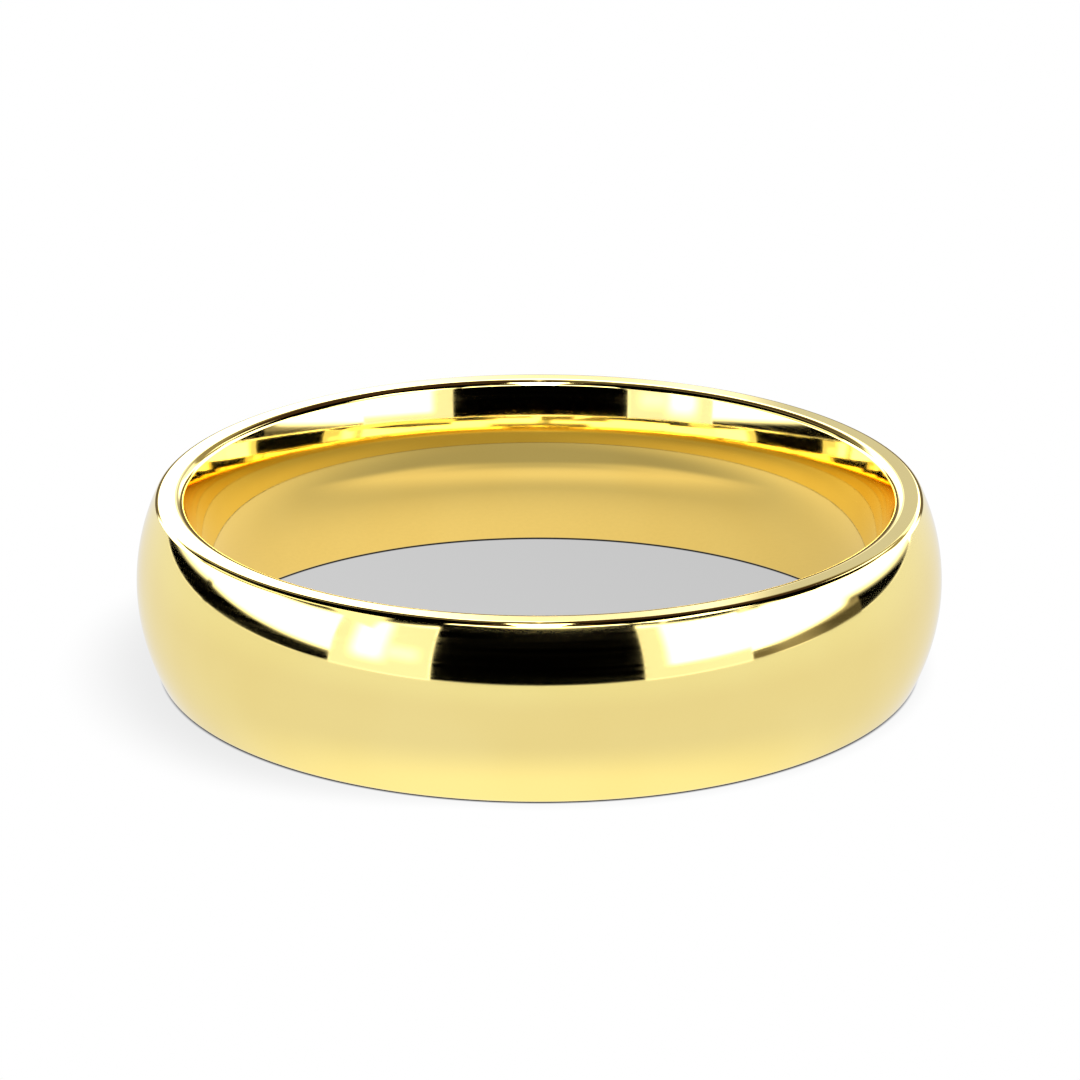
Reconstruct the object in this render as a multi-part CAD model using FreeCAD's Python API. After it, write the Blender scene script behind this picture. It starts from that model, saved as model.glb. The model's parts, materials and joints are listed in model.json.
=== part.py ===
"""Court wedding band: one ring of metal, domed outside and gently domed inside.

The frame: +Z is the ring's axis, and the origin is the centre of the side face that it lies on.
Every length is in millimetres.
"""
import FreeCAD, Part
import math
import os

# Driving dimensions
BAND_WIDTH = 5.0              # along the finger
BORE_DIAMETER = 19.0          # at mid-width, the size of the finger
WALL_THICKNESS = 1.7          # at mid-width
DOME_RADIUS = 5.45            # outside curve across the width
OUTER_EDGE_RADIUS = 0.2       # rounding between the dome and a side face
LAND_WIDTH = 0.1              # straight stretch of the bore at mid-width
COMFORT_RADIUS = 8.0          # inside curve from the land out to a side face
INNER_EDGE_RADIUS = 0.18      # rounding at the end of the comfort curve
INNER_SHOULDER_RADIUS = 0.45  # gentler rounding from there to the side face
INNER_SHOULDER_TURN = math.radians(25)

# Worked out from them
HALF_WIDTH = BAND_WIDTH / 2
HALF_LAND = LAND_WIDTH / 2
BORE_RADIUS = BORE_DIAMETER / 2
OUTER_RADIUS = BORE_RADIUS + WALL_THICKNESS
QUARTER_TURN = math.pi / 2
FULL_TURN_DEGREES = 360

# The section is drawn about mid-width: the first coordinate is the distance from the axis, and the second
# is the height above mid-width. An angle of 0 points away from the axis, and a quarter turn points up.


def point_at(centre, radius, angle):
    """The point of a section circle at an angle."""
    return (centre[0] + radius * math.cos(angle), centre[1] + radius * math.sin(angle))


def to_space(point):
    """A section point placed in the ring's own frame."""
    return FreeCAD.Vector(point[0], 0, HALF_WIDTH + point[1])


def arc_edge(centre, radius, start_angle, end_angle):
    """The edge of a section circle from one angle to another."""
    middle_angle = (start_angle + end_angle) / 2
    ends_and_middle = [point_at(centre, radius, angle) for angle in (start_angle, middle_angle, end_angle)]
    return Part.Arc(*[to_space(point) for point in ends_and_middle]).toShape()


def line_edge(start, end):
    return Part.LineSegment(to_space(start), to_space(end)).toShape()


def rounding(curve_centre, curve_radius, edge_radius, centre_height, outward):
    """The circle of an edge that blends into a wide curve, which it lies inside and touches.

    The result is its centre, and the angle at which it meets the wide curve. outward is 1 for a curve that
    faces away from the axis, or -1 for one that faces it.
    """
    rise = centre_height - curve_centre[1]
    reach = curve_radius - edge_radius
    tilt = math.asin(rise / reach)
    centre = (curve_centre[0] + outward * reach * math.cos(tilt), centre_height)
    meeting_angle = tilt if outward > 0 else math.pi - tilt
    return centre, meeting_angle


def upper_edges():
    """The section's edges above mid-width, from the bore round to the outside."""
    comfort_centre = (BORE_RADIUS + COMFORT_RADIUS, HALF_LAND)
    shoulder_height = HALF_WIDTH - INNER_SHOULDER_RADIUS
    shoulder_angle = QUARTER_TURN + INNER_SHOULDER_TURN
    offset = point_at((0, 0), INNER_SHOULDER_RADIUS - INNER_EDGE_RADIUS, shoulder_angle)
    inner_centre, inner_angle = rounding(
        comfort_centre, COMFORT_RADIUS, INNER_EDGE_RADIUS, shoulder_height + offset[1], -1)
    shoulder_centre = (inner_centre[0] - offset[0], shoulder_height)

    dome_centre = (OUTER_RADIUS - DOME_RADIUS, 0)
    outer_centre, outer_angle = rounding(
        dome_centre, DOME_RADIUS, OUTER_EDGE_RADIUS, HALF_WIDTH - OUTER_EDGE_RADIUS, 1)
    return [
        arc_edge(comfort_centre, COMFORT_RADIUS, math.pi, inner_angle),
        arc_edge(inner_centre, INNER_EDGE_RADIUS, inner_angle, shoulder_angle),
        arc_edge(shoulder_centre, INNER_SHOULDER_RADIUS, shoulder_angle, QUARTER_TURN),
        line_edge((shoulder_centre[0], HALF_WIDTH), (outer_centre[0], HALF_WIDTH)),
        arc_edge(outer_centre, OUTER_EDGE_RADIUS, QUARTER_TURN, outer_angle),
        arc_edge(dome_centre, DOME_RADIUS, outer_angle, 0),
    ]


def band_section():
    """The closed section: the upper edges, their mirror image below mid-width, and the land."""
    upper = upper_edges()
    mid_width = FreeCAD.Vector(0, 0, HALF_WIDTH)
    lower = [edge.mirror(mid_width, FreeCAD.Vector(0, 0, 1)) for edge in upper]
    land = line_edge((BORE_RADIUS, -HALF_LAND), (BORE_RADIUS, HALF_LAND))
    outline = Part.Wire(Part.__sortEdges__([land] + upper + lower))
    return Part.Face(outline)


def band():
    """The ring: its section turned once about the axis."""
    axis_point = FreeCAD.Vector(0, 0, 0)
    axis = FreeCAD.Vector(0, 0, 1)
    return band_section().revolve(axis_point, axis, FULL_TURN_DEGREES)


os.makedirs("parts", exist_ok=True)
band().exportStep("parts/band.step")
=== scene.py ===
"""A polished gold wedding band on a pale floor, under soft studio light.

Lengths are in metres and angles in degrees unless a name says otherwise.
"""
import json
import math

import bpy
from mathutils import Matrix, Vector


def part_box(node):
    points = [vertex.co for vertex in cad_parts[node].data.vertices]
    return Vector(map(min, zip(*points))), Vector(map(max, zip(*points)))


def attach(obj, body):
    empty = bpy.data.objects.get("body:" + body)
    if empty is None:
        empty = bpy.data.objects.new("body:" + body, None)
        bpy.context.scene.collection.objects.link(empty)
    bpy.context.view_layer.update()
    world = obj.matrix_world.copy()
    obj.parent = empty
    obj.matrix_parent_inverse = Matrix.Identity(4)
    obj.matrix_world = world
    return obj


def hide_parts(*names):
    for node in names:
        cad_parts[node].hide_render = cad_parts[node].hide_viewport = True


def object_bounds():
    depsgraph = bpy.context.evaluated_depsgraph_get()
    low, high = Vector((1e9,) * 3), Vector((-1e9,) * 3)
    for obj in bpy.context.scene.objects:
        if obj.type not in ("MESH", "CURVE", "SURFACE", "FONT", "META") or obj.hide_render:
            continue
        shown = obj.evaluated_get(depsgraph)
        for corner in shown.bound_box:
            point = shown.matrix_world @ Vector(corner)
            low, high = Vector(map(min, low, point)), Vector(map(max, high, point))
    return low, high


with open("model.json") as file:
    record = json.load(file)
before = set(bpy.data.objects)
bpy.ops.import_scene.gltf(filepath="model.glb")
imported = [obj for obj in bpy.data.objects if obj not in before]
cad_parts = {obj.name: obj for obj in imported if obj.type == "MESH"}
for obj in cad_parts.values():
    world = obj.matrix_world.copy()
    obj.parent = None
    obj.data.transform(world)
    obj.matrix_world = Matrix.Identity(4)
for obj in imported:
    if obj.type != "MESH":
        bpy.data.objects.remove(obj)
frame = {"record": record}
cad_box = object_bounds()

MM = 0.001

# The band's section. Its width, diameter, bore and land come from the frame, and its curves are the CAD
# part's.
DOME_RADIUS = 5.45 * MM
OUTER_EDGE_RADIUS = 0.2 * MM
COMFORT_RADIUS = 8.0 * MM
INNER_EDGE_RADIUS = 0.18 * MM
INNER_SHOULDER_RADIUS = 0.45 * MM
INNER_SHOULDER_TURN = math.radians(25)
SEGMENTS_AROUND = 600
STEPS_DOME = 26
STEPS_EDGE = 12
STEPS_SHOULDER = 6
STEPS_FACE = 4
STEPS_COMFORT = 20
STEPS_LAND = 2

# The camera: a long lens, a little above the band, looking past its front edge
CAMERA_DISTANCE = 134.8 * MM
CAMERA_ELEVATION = 19.96
CAMERA_PITCH = 19.56
CAMERA_SIDE_STEP = 0.022 * MM
CAMERA_LENS_MM = 161
SENSOR_MM = 36

BLACK = (0.0, 0.0, 0.0, 1.0)


# ---------------------------------------------------------------- the band's mesh


def arc_points(centre, radius, start, end, steps):
    """Points and outward normals along an arc of the section, with angles in radians.

    The last point is left out.
    """
    found = []
    for step in range(steps):
        angle = start + (end - start) * step / steps
        normal = (math.cos(angle), math.sin(angle))
        found.append(((centre[0] + radius * normal[0], centre[1] + radius * normal[1]), normal))
    return found


def line_points(start, end, normal, steps):
    """Points and normals along a straight stretch of the section. The last point is left out."""
    found = []
    for step in range(steps):
        share = step / steps
        point = tuple(a + (b - a) * share for a, b in zip(start, end))
        found.append((point, normal))
    return found


def band_section(outer_radius, half_width, bore_radius, half_land):
    """The closed section as (point, normal) pairs: distance from the axis, and height above mid-width."""
    dome_centre = outer_radius - DOME_RADIUS
    dome_reach = DOME_RADIUS - OUTER_EDGE_RADIUS
    dome_angle = math.asin((half_width - OUTER_EDGE_RADIUS) / dome_reach)
    outer_edge = dome_centre + dome_reach * math.cos(dome_angle)
    outer_rise = half_width - OUTER_EDGE_RADIUS

    shoulder_rise = half_width - INNER_SHOULDER_RADIUS
    between = INNER_SHOULDER_RADIUS - INNER_EDGE_RADIUS
    inner_rise = shoulder_rise + between * math.cos(INNER_SHOULDER_TURN)
    comfort_centre = bore_radius + COMFORT_RADIUS
    comfort_reach = COMFORT_RADIUS - INNER_EDGE_RADIUS
    comfort_angle = math.asin((inner_rise - half_land) / comfort_reach)
    inner_edge = comfort_centre - comfort_reach * math.cos(comfort_angle)
    shoulder = inner_edge + between * math.sin(INNER_SHOULDER_TURN)

    up, down, level = math.pi / 2, -math.pi / 2, math.pi
    turned_up, turned_down = up + INNER_SHOULDER_TURN, 3 * up - INNER_SHOULDER_TURN
    comfort_top, comfort_bottom = level - comfort_angle, level + comfort_angle
    return (
        arc_points((dome_centre, 0), DOME_RADIUS, -dome_angle, dome_angle, 2 * STEPS_DOME)
        + arc_points((outer_edge, outer_rise), OUTER_EDGE_RADIUS, dome_angle, up, STEPS_EDGE)
        + line_points((outer_edge, half_width), (shoulder, half_width), (0, 1), STEPS_FACE)
        + arc_points((shoulder, shoulder_rise), INNER_SHOULDER_RADIUS, up, turned_up, STEPS_SHOULDER)
        + arc_points((inner_edge, inner_rise), INNER_EDGE_RADIUS, turned_up, comfort_top, STEPS_EDGE)
        + arc_points((comfort_centre, half_land), COMFORT_RADIUS, comfort_top, level, STEPS_COMFORT)
        + line_points((bore_radius, half_land), (bore_radius, -half_land), (-1, 0), STEPS_LAND)
        + arc_points((comfort_centre, -half_land), COMFORT_RADIUS, level, comfort_bottom, STEPS_COMFORT)
        + arc_points((inner_edge, -inner_rise), INNER_EDGE_RADIUS, comfort_bottom, turned_down, STEPS_EDGE)
        + arc_points((shoulder, -shoulder_rise), INNER_SHOULDER_RADIUS, turned_down, 3 * up, STEPS_SHOULDER)
        + line_points((shoulder, -half_width), (outer_edge, -half_width), (0, -1), STEPS_FACE)
        + arc_points((outer_edge, -outer_rise), OUTER_EDGE_RADIUS, down, -dome_angle, STEPS_EDGE)
    )


def turned_mesh(name, section, mid_height, segments):
    """The section turned about the +Z axis, with the section's own normals."""
    corners, normals, faces = [], [], []
    count = len(section)
    for turn in range(segments):
        angle = 2 * math.pi * turn / segments
        cosine, sine = math.cos(angle), math.sin(angle)
        for (radius, height), (outward, upward) in section:
            corners.append((radius * cosine, radius * sine, mid_height + height))
            normals.append((outward * cosine, outward * sine, upward))
        ahead = (turn + 1) % segments
        for step in range(count):
            after = (step + 1) % count
            here, there = turn * count, ahead * count
            faces.append((here + step, there + step, there + after, here + after))
    mesh = bpy.data.meshes.new(name)
    mesh.from_pydata(corners, [], faces)
    mesh.shade_smooth()
    mesh.normals_split_custom_set_from_vertices(normals)
    mesh.validate()
    return mesh


def add_object(name, mesh):
    made = bpy.data.objects.new(name, mesh)
    bpy.context.scene.collection.objects.link(made)
    return made


def finger_bore():
    """The bore's radius and half the length of its straight land, from the record."""
    mount = next(m for m in frame["record"]["mounts"] if m["name"] == "finger_bore")
    return mount["dims"]["r_mm"] * MM, mount["dims"]["length_mm"] * MM / 2


# ---------------------------------------------------------------- node helpers


def join(tree, value, socket):
    """Sets a socket from another node's output, or from a plain value."""
    if isinstance(value, bpy.types.NodeSocket):
        tree.links.new(value, socket)
    else:
        socket.default_value = value


def calculate(tree, operation, *values):
    """A Math node's output."""
    node = tree.nodes.new("ShaderNodeMath")
    node.operation = operation
    for value, socket in zip(values, node.inputs):
        join(tree, value, socket)
    return node.outputs[0]


def ramp(tree, value, start, end, low=0.0, high=1.0):
    """A smooth step from low to high as value goes from start to end."""
    node = tree.nodes.new("ShaderNodeMapRange")
    node.interpolation_type = "SMOOTHSTEP"
    for socket, setting in zip(node.inputs, (value, start, end, low, high)):
        join(tree, setting, socket)
    return node.outputs["Result"]


def blend_colours(tree, share, first, second):
    """first where share is 0, and second where it is 1."""
    node = tree.nodes.new("ShaderNodeMix")
    node.data_type = "RGBA"
    join(tree, share, node.inputs["Factor"])
    join(tree, first, node.inputs["A"])
    join(tree, second, node.inputs["B"])
    return node.outputs["Result"]


def split(tree, vector):
    """A vector's three parts."""
    node = tree.nodes.new("ShaderNodeSeparateXYZ")
    tree.links.new(vector, node.inputs[0])
    return node.outputs["X"], node.outputs["Y"], node.outputs["Z"]


def scale_and_add(tree, value, factor, offset):
    """value times factor, plus offset."""
    return calculate(tree, "ADD", calculate(tree, "MULTIPLY", value, factor), offset)


def axis_distance(tree, x, y):
    """How far a point is from the band's axis."""
    squares = calculate(tree, "ADD", calculate(tree, "MULTIPLY", x, x), calculate(tree, "MULTIPLY", y, y))
    return calculate(tree, "SQRT", squares)


def noise(tree, vector, scale, detail, roughness=0.5):
    """A noise texture's value, from 0 to 1."""
    node = tree.nodes.new("ShaderNodeTexNoise")
    tree.links.new(vector, node.inputs["Vector"])
    node.inputs["Scale"].default_value = scale
    node.inputs["Detail"].default_value = detail
    node.inputs["Roughness"].default_value = roughness
    return node.outputs[0]


# ---------------------------------------------------------------- the gold

GOLD = (1.0, 0.82, 0.315, 1.0)
GOLD_DEEP = (0.975, 0.785, 0.285, 1.0)
LINE_LENGTH = 6.0 * MM     # how far one polishing line runs round the band
LINE_WIDTH = 0.07 * MM
LINE_DETAIL = 3.0
CLOUD_SCALE = 220.0        # for each metre
NOISE_RANGE = (0.3, 0.7)   # the part of a noise's values that its ramps use
ROUGHNESS_LOW = 0.035
ROUGHNESS_HIGH = 0.07


def gold_material():
    """Mirror-polished yellow gold, with the fine lines that the polishing wheel leaves round the band."""
    material = bpy.data.materials.new("polished_gold")
    material.use_nodes = True
    tree = material.node_tree
    shader = tree.nodes["Principled BSDF"]
    place = tree.nodes.new("ShaderNodeTexCoord").outputs["Object"]
    x, y, z = split(tree, place)
    radius = axis_distance(tree, x, y)
    stretched = tree.nodes.new("ShaderNodeCombineXYZ")
    join(tree, calculate(tree, "DIVIDE", x, LINE_LENGTH), stretched.inputs["X"])
    join(tree, calculate(tree, "DIVIDE", y, LINE_LENGTH), stretched.inputs["Y"])
    across = calculate(tree, "ADD", z, radius)
    join(tree, calculate(tree, "DIVIDE", across, LINE_WIDTH), stretched.inputs["Z"])
    lines = noise(tree, stretched.outputs[0], 1.0, LINE_DETAIL, 0.6)
    clouds = noise(tree, place, CLOUD_SCALE, 2.0)
    shader.inputs["Metallic"].default_value = 1.0
    colour = blend_colours(tree, ramp(tree, clouds, *NOISE_RANGE), GOLD, GOLD_DEEP)
    tree.links.new(colour, shader.inputs["Base Color"])
    polish = ramp(tree, lines, *NOISE_RANGE, ROUGHNESS_LOW, ROUGHNESS_HIGH)
    tree.links.new(polish, shader.inputs["Roughness"])
    return material


# ---------------------------------------------------------------- the studio


def edge_ramp(tree, value, edge, soft, rising):
    """A soft step at one edge of a panel."""
    start, end = edge - soft, edge + soft
    return ramp(tree, value, start, end) if rising else ramp(tree, value, start, end, 1.0, 0.0)


def edge_pair(setting):
    """A setting for a panel's two edges, from one number for both or a pair."""
    return setting if isinstance(setting, tuple) else (setting, setting)


def studio_panel(tree, colour, across, up, sides, heights, light,
                 side_soft=0.5, height_soft=0.5, slope=0.0):
    """Lays one soft-edged panel over the studio's light.

    across and up are the panel's two angles. sides are its limits across, from left to right, and heights
    its limits from bottom to top. A softness is for both edges, or a pair. slope tips the bottom and top
    edges, in degrees for each degree aside from the panel's middle.
    """
    side_softs, height_softs, slopes = edge_pair(side_soft), edge_pair(height_soft), edge_pair(slope)
    middle, half = (sides[0] + sides[1]) / 2, (sides[1] - sides[0]) / 2
    turned = calculate(tree, "SUBTRACT", across, middle - 180)
    aside = calculate(tree, "SUBTRACT", calculate(tree, "FLOORED_MODULO", turned, 360), 180)
    share = calculate(tree, "MULTIPLY", edge_ramp(tree, aside, -half, side_softs[0], True),
                      edge_ramp(tree, aside, half, side_softs[1], False))
    for edge, soft, tip, rising in zip(heights, height_softs, slopes, (True, False)):
        height = calculate(tree, "SUBTRACT", up, calculate(tree, "MULTIPLY", aside, tip)) if tip else up
        share = calculate(tree, "MULTIPLY", share, edge_ramp(tree, height, edge, soft, rising))
    return blend_colours(tree, share, colour, (*light, 1.0))


SOFTBOX = (4.0, 4.0, 4.0)
PALE = (1.15, 1.15, 1.22)
DARK = (0.0, 0.0, 0.0)
BROWN = (0.055, 0.030, 0.020)
WARM_WALL = (0.16, 0.13, 0.09)

# Each panel is painted over the ones before it. A wall panel is placed by azimuth, from the camera's side and
# growing to its right, and by elevation above the horizon.
WALL_PANELS = [
    # the ceiling, which comes lowest on the two sides
    {"sides": (-180, 180), "heights": (44, 200), "light": BROWN, "height_soft": 3},
    {"sides": (-176, -148), "heights": (30, 200), "light": (0.22, 0.20, 0.15), "side_soft": (1, 2),
     "height_soft": 2},
    {"sides": (-170, -148), "heights": (36, 200), "light": BROWN, "side_soft": (2, 2), "height_soft": 4},
    {"sides": (-152, -122), "heights": (25, 200), "light": (0.40, 0.36, 0.28), "side_soft": (4, 1),
     "height_soft": 1},
    {"sides": (-144, -122), "heights": (25, 200), "light": DARK, "side_soft": (3, 1), "height_soft": 1},
    {"sides": (-122, -94), "heights": (17.6, 200), "light": DARK, "height_soft": 0.6},
    {"sides": (-94.5, -29), "heights": (22.6, 200), "light": DARK, "height_soft": 0.6,
     "slope": (0.165, 0)},
    {"sides": (28, 68), "heights": (25.5, 200), "light": DARK, "height_soft": 0.8, "slope": (-0.17, 0)},
    {"sides": (67.5, 92.5), "heights": (22.4, 200), "light": DARK, "height_soft": 0.8},
    {"sides": (92, 135), "heights": (27.2, 200), "light": DARK, "side_soft": (0.5, 2),
     "slope": (0.05, 0)},
    # the wall behind the band
    {"sides": (134, 179), "heights": (21.5, 200), "light": (0.34, 0.30, 0.20), "side_soft": (3, 0.4),
     "height_soft": 1},
    {"sides": (130, 179), "heights": (35, 200), "light": BROWN, "side_soft": (4, 2), "height_soft": 4},
    {"sides": (136, 156), "heights": (34, 39), "light": SOFTBOX, "side_soft": 3, "height_soft": 1.5,
     "slope": -0.6},
    {"sides": (156, 172), "heights": (20, 25.2), "light": (1.6, 1.6, 1.5), "side_soft": 2},
    {"sides": (172, 178), "heights": (13, 24), "light": (0.68, 0.69, 0.69), "side_soft": (2, 1.2),
     "height_soft": 1},
    {"sides": (178, 181.5), "heights": (13, 23), "light": (1.2, 1.2, 1.2), "side_soft": (1, 1.5),
     "height_soft": 1},
    {"sides": (147, 213), "heights": (-4, 14.5), "light": WARM_WALL, "side_soft": 4,
     "height_soft": (1, 3)},
    # left of the band
    {"sides": (-145, -106), "heights": (-1, 3.8), "light": DARK, "height_soft": (0.4, 1.6),
     "slope": (0, 0.16)},
    {"sides": (-108.5, -59.5), "heights": (-1, 5.5), "light": DARK, "height_soft": (0.4, 1.5),
     "slope": (0, -0.04)},
    {"sides": (-59.5, -30), "heights": (-1, 25.2), "light": PALE, "slope": (0, 0.12)},
    {"sides": (-53, -44), "heights": (6, 25), "light": SOFTBOX, "side_soft": 3, "height_soft": (4, 1)},
    {"sides": (-43, -34), "heights": (8, 14), "light": (2.0, 2.0, 2.0), "side_soft": 2.5,
     "height_soft": 3},
    # right of the band
    {"sides": (96, 134), "heights": (-1, 3.8), "light": DARK, "side_soft": (3, 0.5),
     "height_soft": (0.4, 1.8),
     "slope": (0, -0.195)},
    {"sides": (60.5, 101), "heights": (-1, 4.4), "light": (0.34, 0.30, 0.24), "height_soft": (0.4, 1.4),
     "slope": (0, 0.06)},
    {"sides": (60.5, 68), "heights": (-1, 3.2), "light": (0.20, 0.17, 0.12), "side_soft": (0.5, 4)},
    {"sides": (83, 101), "heights": (-1, 3.2), "light": (0.10, 0.085, 0.06), "side_soft": (8, 0.5)},
    {"sides": (29, 60.5), "heights": (-1, 25.5), "light": PALE, "slope": (0, -0.12)},
    {"sides": (36, 60.5), "heights": (5.5, 25.5), "light": SOFTBOX, "side_soft": (2, 0.5),
     "height_soft": (1.5, 0.5),
     "slope": (0, -0.12)},
    # in front of the band
    {"sides": (-29.8, 29), "heights": (-1, 31), "light": DARK},
]
# The roof panels lie over the band. The front one is placed by the angle to the right of the band's middle
# plane and by the angle up and over from the camera's side. The side ones are placed by the angle toward the
# camera, and by the angle up and over from that side.
FRONT_ROOF_PANELS = [
    {"sides": (-4.9, 4.9), "heights": (36, 89), "light": (12.0, 12.0, 12.0), "side_soft": 0.4,
     "height_soft": 0.6},
]
LEFT_ROOF_PANELS = [
    {"sides": (-29, 38), "heights": (26, 37), "light": (1.6, 1.6, 1.35), "side_soft": 2,
     "height_soft": 0.8},
]
RIGHT_ROOF_PANELS = [
    {"sides": (11, 26), "heights": (25.5, 34), "light": (1.4, 1.4, 1.3), "side_soft": 1.5,
     "height_soft": 0.8},
    {"sides": (10, 44), "heights": (41, 58), "light": SOFTBOX, "side_soft": 1.5, "height_soft": 1},
]
ROOM = (3.6, 3.6, 3.6, 1.0)
FAR_FLOOR = (0.89, 0.92, 0.95, 1.0)
MIDDLE_FLOOR = (0.84, 0.84, 0.87, 1.0)
NEAR_FLOOR = (1.06, 1.06, 0.98, 1.0)


def floor_light(tree, elevation):
    """What the band sees of the pale floor round it, by how steeply it looks down."""
    colour = blend_colours(tree, ramp(tree, elevation, -18, -1), MIDDLE_FLOOR, FAR_FLOOR)
    return blend_colours(tree, ramp(tree, elevation, -35, -62), colour, NEAR_FLOOR)


def degrees_between(tree, rise, run):
    return calculate(tree, "DEGREES", calculate(tree, "ARCTAN2", rise, run))


def degrees_aside(tree, part):
    """The angle that a direction makes with a plane, from the part of it that is square to the plane."""
    return calculate(tree, "DEGREES", calculate(tree, "ARCSINE", part))


def make_studio():
    """Soft boxes and black flags all round, far away, as light by direction."""
    world = bpy.data.worlds.new("studio")
    bpy.context.scene.world = world
    world.use_nodes = True
    tree = world.node_tree
    x, y, z = split(tree, tree.nodes.new("ShaderNodeTexCoord").outputs["Generated"])
    left, toward_camera = calculate(tree, "MULTIPLY", x, -1), calculate(tree, "MULTIPLY", y, -1)
    azimuth = degrees_between(tree, x, toward_camera)
    elevation = degrees_aside(tree, z)
    colour = blend_colours(tree, ramp(tree, elevation, -1.4, -0.6), floor_light(tree, elevation), ROOM)
    for across, up, panels in (
        (azimuth, elevation, WALL_PANELS),
        (degrees_aside(tree, toward_camera), degrees_between(tree, z, left), LEFT_ROOF_PANELS),
        (degrees_aside(tree, toward_camera), degrees_between(tree, z, x), RIGHT_ROOF_PANELS),
        (degrees_aside(tree, x), degrees_between(tree, z, toward_camera), FRONT_ROOF_PANELS),
    ):
        for panel in panels:
            colour = studio_panel(tree, colour, across, up, **panel)
    tree.links.new(colour, tree.nodes["Background"].inputs["Color"])


# ---------------------------------------------------------------- the floor and the backdrop

FLOOR_RADIUS = 1.2
BACKDROP_HEIGHT = 0.7
RIM_POINTS = 96
CONTACT_OUTSIDE = 10.53 * MM
CONTACT_INSIDE = 10.0 * MM
LIT_FLOOR_RADIUS = 10.3 * MM
# the width of the painted contact shadow round the outside of the band's foot
CONTACT_SHADOW_WIDTH = 0.15 * MM
SHADE_INSIDE = 0.60        # the painted shade inside the band, and how it changes for each metre
SHADE_PER_X = -3.0
SHADE_PER_Y = -1.6
SHADOW_SIDE = -172         # the direction, from +X, that the soft shadow leans
SHADOW_LEAN = (0.25, 1.0)  # the cosines of the angle from that side where the lean starts and is full
SHADOW_REACH = 0.7 * MM    # all round, and how much more on the shadow's side
SHADOW_LEAN_REACH = 2.5 * MM
SHADOW_DEPTH = 0.07
SHADOW_LEAN_DEPTH = 0.10
# The disc inside the band shows painted light: painted shade, a painted glow and a painted streak of gathered
# light.
FLOOR_SHADE = (0.42, 0.38, 0.28, 1.0)
FLOOR_GLOW = (1.0, 0.80, 0.47, 1.0)
ROUND_GLOW = 0.23          # the painted glow near the wall, and how much more there is on the far and left sides
FAR_GLOW = 0.20
LEFT_GLOW = 0.09
STREAK_GLOW = 0.46
GLOW_RADII = (3.0 * MM, 9.8 * MM)
STREAK_NEAR = (1.2 * MM, 3.7 * MM)   # where the painted streak of gathered light starts and ends along Y
STREAK_FAR = (3.9 * MM, 6.6 * MM)
STREAK_ENDS = (1.2 * MM, 2.9 * MM)
GRAIN_SCALE = 9000.0
GRAIN_LEVELS = (0.97, 1.03)


def glowing_material(name):
    """A material that shows one colour whatever the light. It gives back the tree and the colour's socket."""
    material = bpy.data.materials.new(name)
    material.use_nodes = True
    tree = material.node_tree
    tree.nodes.remove(tree.nodes["Principled BSDF"])
    glow = tree.nodes.new("ShaderNodeEmission")
    tree.links.new(glow.outputs[0], tree.nodes["Material Output"].inputs["Surface"])
    return material, tree, glow.inputs["Color"]


def floor_material():
    """A white glowing floor: painted grey shade inside the band, a thin painted contact shadow and a soft
    painted shadow to one side.
    """
    material, tree, socket = glowing_material("pale_floor_painted_shade")
    x, y, _ = split(tree, tree.nodes.new("ShaderNodeNewGeometry").outputs["Position"])
    radius = axis_distance(tree, x, y)
    # a painted soft shadow, deepest at the band's foot and reaching farthest on one side
    side = math.radians(SHADOW_SIDE)
    along = calculate(tree, "ADD", calculate(tree, "MULTIPLY", x, math.cos(side)),
                      calculate(tree, "MULTIPLY", y, math.sin(side)))
    lean = ramp(tree, calculate(tree, "DIVIDE", along, radius), *SHADOW_LEAN)
    reach = scale_and_add(tree, lean, SHADOW_LEAN_REACH, SHADOW_REACH)
    depth = scale_and_add(tree, lean, SHADOW_LEAN_DEPTH, SHADOW_DEPTH)
    shadow_end = calculate(tree, "ADD", reach, CONTACT_OUTSIDE)
    fade = ramp(tree, radius, CONTACT_OUTSIDE, shadow_end, 1.0, 0.0)
    outside = calculate(tree, "SUBTRACT", 1.0, calculate(tree, "MULTIPLY", fade, depth))
    # a thin painted contact shadow round the outside of the band's foot
    line = ramp(tree, radius, CONTACT_OUTSIDE, CONTACT_OUTSIDE + CONTACT_SHADOW_WIDTH)
    outside = calculate(tree, "MULTIPLY", outside, line)
    # painted shade inside the band: grey, with a slight slope across the floor
    inside = scale_and_add(tree, x, SHADE_PER_X, SHADE_INSIDE)
    inside = calculate(tree, "ADD", inside, calculate(tree, "MULTIPLY", y, SHADE_PER_Y))
    # a painted contact shadow at the foot of the bore, almost black
    inner_shadow_start, inner_shadow_end = CONTACT_INSIDE - 0.12 * MM, CONTACT_INSIDE - 0.04 * MM
    inside = calculate(tree, "MULTIPLY", inside, ramp(tree, radius, inner_shadow_start, inner_shadow_end, 1.0, 0.03))
    is_outside = calculate(tree, "GREATER_THAN", radius, LIT_FLOOR_RADIUS)
    level = calculate(tree, "ADD", calculate(tree, "MULTIPLY", outside, is_outside),
                      calculate(tree, "MULTIPLY", inside, calculate(tree, "SUBTRACT", 1.0, is_outside)))
    grey = tree.nodes.new("ShaderNodeCombineColor")
    for channel in grey.inputs[:3]:
        tree.links.new(level, channel)
    tree.links.new(grey.outputs[0], socket)
    return material


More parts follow.
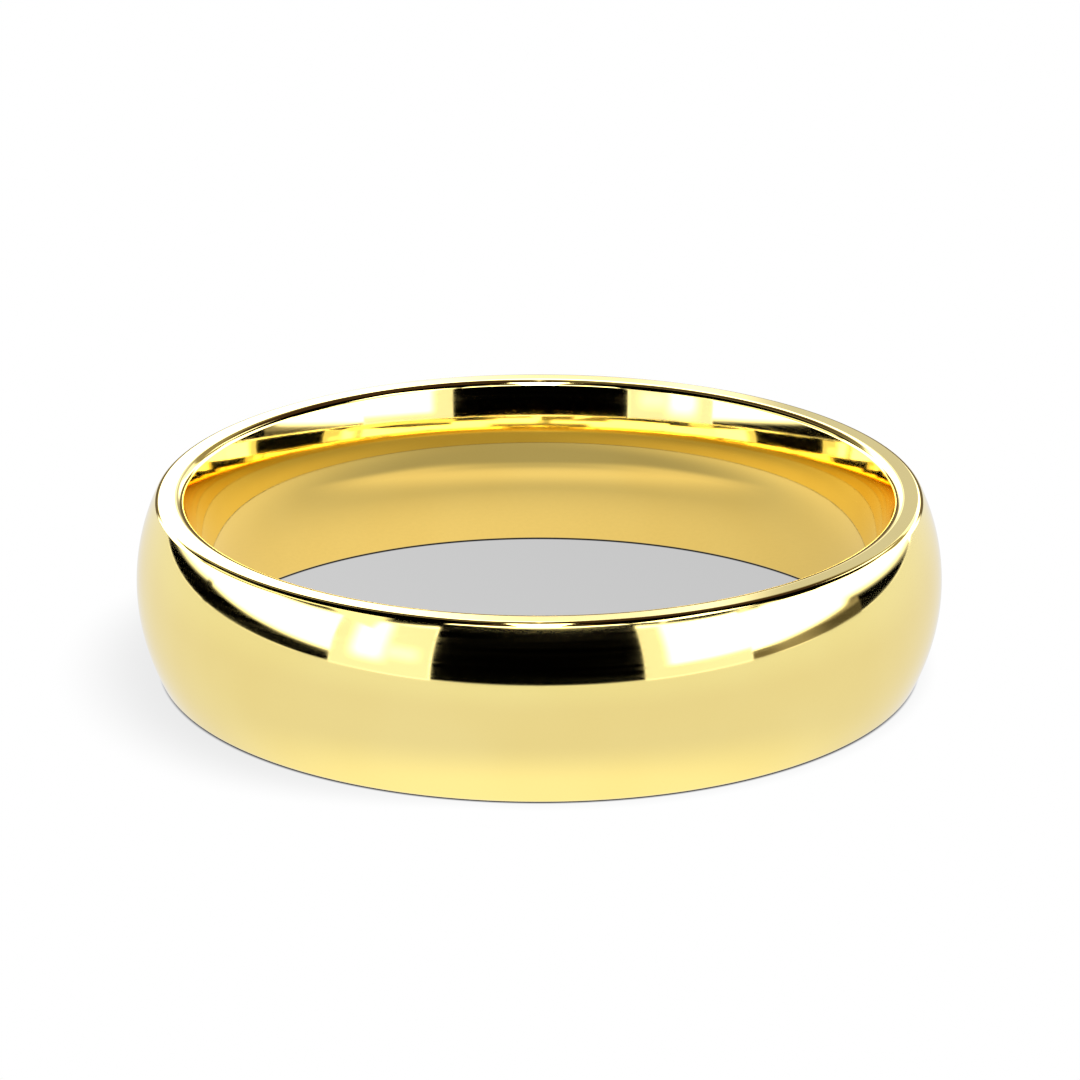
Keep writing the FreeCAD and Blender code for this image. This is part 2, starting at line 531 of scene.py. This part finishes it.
def lit_floor_material():
    """The floor inside the band as the band sees it, in painted light: brighter far off, with a painted
    streak of gathered light.
    """
    material, tree, socket = glowing_material("floor_painted_light")
    place = tree.nodes.new("ShaderNodeNewGeometry").outputs["Position"]
    x, y, _ = split(tree, place)
    radius = axis_distance(tree, x, y)
    side = calculate(tree, "SUBTRACT", calculate(tree, "MULTIPLY", y, FAR_GLOW),
                     calculate(tree, "MULTIPLY", x, LEFT_GLOW))
    side = calculate(tree, "ADD", calculate(tree, "DIVIDE", side, radius), ROUND_GLOW)
    glow = calculate(tree, "MULTIPLY", ramp(tree, radius, *GLOW_RADII), side)
    streak = calculate(tree, "MULTIPLY", ramp(tree, y, *STREAK_NEAR), ramp(tree, y, *STREAK_FAR, 1.0, 0.0))
    ends = ramp(tree, calculate(tree, "ABSOLUTE", x), *STREAK_ENDS, STREAK_GLOW, 0.0)
    glow = calculate(tree, "ADD", glow, calculate(tree, "MULTIPLY", streak, ends))
    grain = ramp(tree, noise(tree, place, GRAIN_SCALE, 2.0), *NOISE_RANGE, *GRAIN_LEVELS)
    # a painted contact shadow where the bore meets the floor
    line = ramp(tree, radius, CONTACT_INSIDE - 0.10 * MM, CONTACT_INSIDE, 1.0, 0.0)
    lit = tree.nodes.new("ShaderNodeMix")
    lit.data_type = "RGBA"
    lit.blend_type = "ADD"
    lit.inputs["Factor"].default_value = 1.0
    lit.inputs["A"].default_value = FLOOR_SHADE
    glow_colour = blend_colours(tree, calculate(tree, "MULTIPLY", glow, grain), BLACK, FLOOR_GLOW)
    tree.links.new(glow_colour, lit.inputs["B"])
    tree.links.new(blend_colours(tree, line, BLACK, lit.outputs["Result"]), socket)
    return material


def rim_points(radius, height):
    """Points evenly round a circle about the band's axis."""
    turns = [2 * math.pi * point / RIM_POINTS for point in range(RIM_POINTS)]
    return [(radius * math.cos(turn), radius * math.sin(turn), height) for turn in turns]


def make_disc(name, radius, material):
    mesh = bpy.data.meshes.new(name)
    mesh.from_pydata(rim_points(radius, 0), [], [list(range(RIM_POINTS))])
    mesh.materials.append(material)
    disc = add_object(name, mesh)
    return disc


def show_to_camera_only(thing):
    thing.visible_diffuse = False
    thing.visible_glossy = False
    thing.visible_transmission = False
    thing.visible_shadow = False


def make_floor():
    """The floor that the camera sees, with painted shade and shadows, and the small glowing disc of painted
    light that the band sees inside itself.
    """
    show_to_camera_only(make_disc("floor", FLOOR_RADIUS, floor_material()))
    inner = make_disc("floor_inside_band_painted_light", LIT_FLOOR_RADIUS, lit_floor_material())
    inner.visible_camera = False


def make_backdrop():
    """A pale wall far round the floor, that only the camera sees."""
    mesh = bpy.data.meshes.new("backdrop")
    corners = rim_points(FLOOR_RADIUS, 0) + rim_points(FLOOR_RADIUS, BACKDROP_HEIGHT)
    sides = []
    for low in range(RIM_POINTS):
        ahead = (low + 1) % RIM_POINTS
        sides.append((low, ahead, RIM_POINTS + ahead, RIM_POINTS + low))
    mesh.from_pydata(corners, [], sides)
    material, _, socket = glowing_material("pale_backdrop")
    socket.default_value = (1.0, 1.0, 1.0, 1.0)
    mesh.materials.append(material)
    backdrop = add_object("backdrop", mesh)
    show_to_camera_only(backdrop)


def make_camera(mid_height):
    data = bpy.data.cameras.new("camera")
    data.sensor_width = SENSOR_MM
    data.lens = CAMERA_LENS_MM
    data.clip_start = 0.001
    data.clip_end = 5.0
    camera = add_object("camera", data)
    rise = math.radians(CAMERA_ELEVATION)
    camera.location = (
        CAMERA_SIDE_STEP,
        -CAMERA_DISTANCE * math.cos(rise),
        mid_height + CAMERA_DISTANCE * math.sin(rise),
    )
    camera.rotation_euler = (math.radians(90 - CAMERA_PITCH), 0, 0)
    bpy.context.scene.camera = camera


def make_band():
    low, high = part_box("band")
    bore_radius, half_land = finger_bore()
    half_width = (high.z - low.z) / 2
    section = band_section(high.x, half_width, bore_radius, half_land)
    mesh = turned_mesh("polished_band", section, low.z + half_width, SEGMENTS_AROUND)
    mesh.materials.append(gold_material())
    band = add_object("polished_band", mesh)
    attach(band, "root")
    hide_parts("band")


make_camera((cad_box[0].z + cad_box[1].z) / 2)
make_band()
make_studio()
make_floor()
make_backdrop()

scene = bpy.context.scene
scene.view_settings.view_transform = "Standard"
scene.view_settings.look = "None"
scene.cycles.max_bounces = 16
scene.cycles.glossy_bounces = 12
